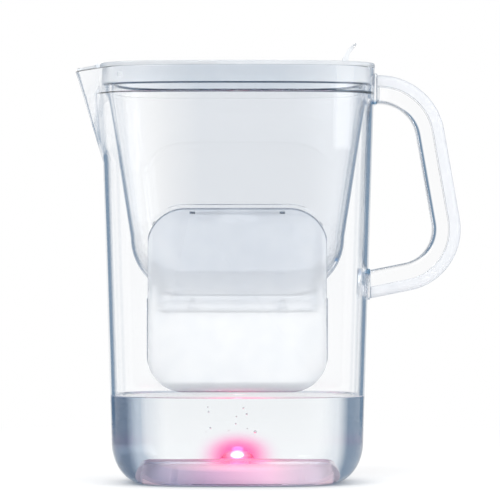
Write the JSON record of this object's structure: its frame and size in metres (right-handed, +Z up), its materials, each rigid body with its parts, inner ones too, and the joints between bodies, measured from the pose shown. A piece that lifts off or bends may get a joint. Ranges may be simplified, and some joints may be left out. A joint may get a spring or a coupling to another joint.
{
  "type": "water filter pitcher",
  "caption": "Clear water filter pitcher with side spout, loop handle, lift-out funnel and cartridge, flip lid and a light in the base",
  "frame": {"origin": "centre of the jug's foot, on the surface that it stands on", "axes": "+X points from the spout to the handle, +Y to the back, +Z up"},
  "size_m": [0.2336, 0.104, 0.2663],
  "materials": {
    "clear_jug": "clear, glossy",
    "clear_handle": "clear, glossy",
    "clear_funnel": "clear, glossy",
    "frosted_grip": "frosted",
    "frosted_basket": "frosted",
    "frosted_lid": "frosted",
    "frosted_flap": "frosted",
    "light_plastic": "satin",
    "light_lens": "diffusing",
    "led": "glossy",
    "board": "satin",
    "inner_plastic": "satin",
    "cell": "brushed",
    "spring": "satin",
    "seal_rubber": "matte",
    "cartridge_plastic": "satin",
    "mesh": "woven",
    "carbon": "granular",
    "mineral": "granular",
    "pin_plastic": "satin"
  },
  "bodies": {
    "jug": {"jug_body": "clear_jug", "handle_core": "clear_handle", "handle_grip": "frosted_grip", "light_housing": "light_plastic", "light_lens": "light_lens", "light_led": "led", "light_board": "board", "cell_holder": "inner_plastic", "coin_cell": "cell", "cell_spring": "spring", "cover_gasket": "seal_rubber"},
    "light_cover": {"light_cover": "light_plastic"},
    "funnel": {"hopper": "clear_funnel", "cartridge_sleeve": "frosted_basket"},
    "cartridge": {"cartridge_shell": "cartridge_plastic", "cartridge_cap": "cartridge_plastic", "cartridge_seal": "seal_rubber", "outlet_mesh": "mesh", "carbon_bed": "carbon", "inlet_mesh": "mesh", "mineral_bed": "mineral"},
    "lid": {"lid_frame": "frosted_lid", "fill_hinge_pin": "pin_plastic", "spout_hinge_pin": "pin_plastic"},
    "fill_flap": {"fill_flap": "frosted_flap"},
    "spout_flap": {"spout_flap": "frosted_flap"}
  },
  "joints": [
    {"name": "funnel_lift", "type": "slide", "parent": "jug", "child": "funnel", "axis": [0, 0, 1], "range_m": [0, 0.2]},
    {"name": "lid_lift", "type": "slide", "parent": "funnel", "child": "lid", "axis": [0, 0, 1], "range_m": [0, 0.04]},
    {"name": "cartridge_lift", "type": "slide", "parent": "funnel", "child": "cartridge", "axis": [0, 0, 1], "range_m": [0, 0.08]},
    {"name": "fill_flap_hinge", "type": "hinge", "parent": "lid", "child": "fill_flap", "pos_m": [0.066, 0, 0.2526], "axis": [0, 1, 0], "range_deg": [0, 55]},
    {"name": "spout_flap_hinge", "type": "hinge", "parent": "lid", "child": "spout_flap", "pos_m": [-0.0846, 0, 0.252], "axis": [0, 1, 0], "range_deg": [0, 75]},
    {"name": "cover_twist", "type": "hinge", "parent": "jug", "child": "light_cover", "pos_m": [0, 0, 0], "axis": [0, 0, 1], "range_deg": [0, 60]}
  ]
}
